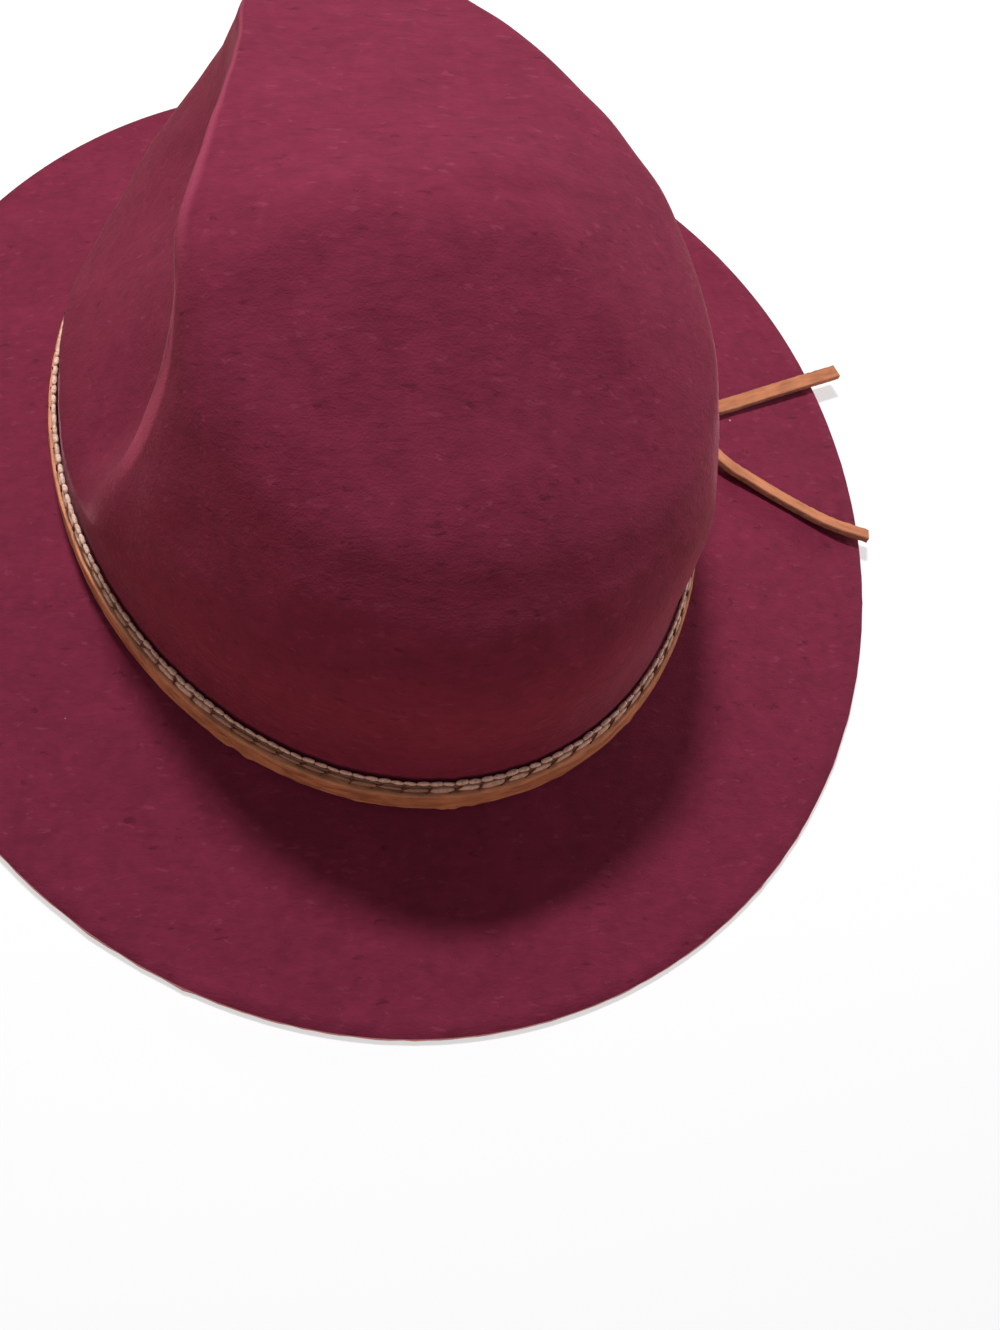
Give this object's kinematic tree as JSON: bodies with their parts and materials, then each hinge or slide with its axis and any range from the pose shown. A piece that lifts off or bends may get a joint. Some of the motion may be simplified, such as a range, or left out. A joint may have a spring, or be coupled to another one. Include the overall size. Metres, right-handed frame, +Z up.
{
  "type": "fedora",
  "caption": "Pinch-front felt hat with a creased crown, a flat raw-cut brim and a leather band with a laced upper edge, tied at the side with its ends lying on the brim.",
  "frame": {"origin": "middle of the hat's footprint on the surface that it lies on, with the loose tie ends counted in the footprint", "axes": "+Z up, out of the top of the crown; -Y is the front, where the crown is pinched; +X is the wearer's left"},
  "size_m": [0.2906, 0.3154, 0.1245],
  "materials": {
    "felt": "matt wool felt with a short nap",
    "band_leather": "soft matt vegetable-tanned leather with raw cut sides",
    "lace": "waxed cream lace"
  },
  "bodies": {
    "root": {"felt_body": "felt", "band_strap": "band_leather", "band_lacing": "lace", "band_knot": "band_leather", "tie_end_upper": "band_leather", "tie_end_lower": "band_leather"}
  },
  "joints": []
}
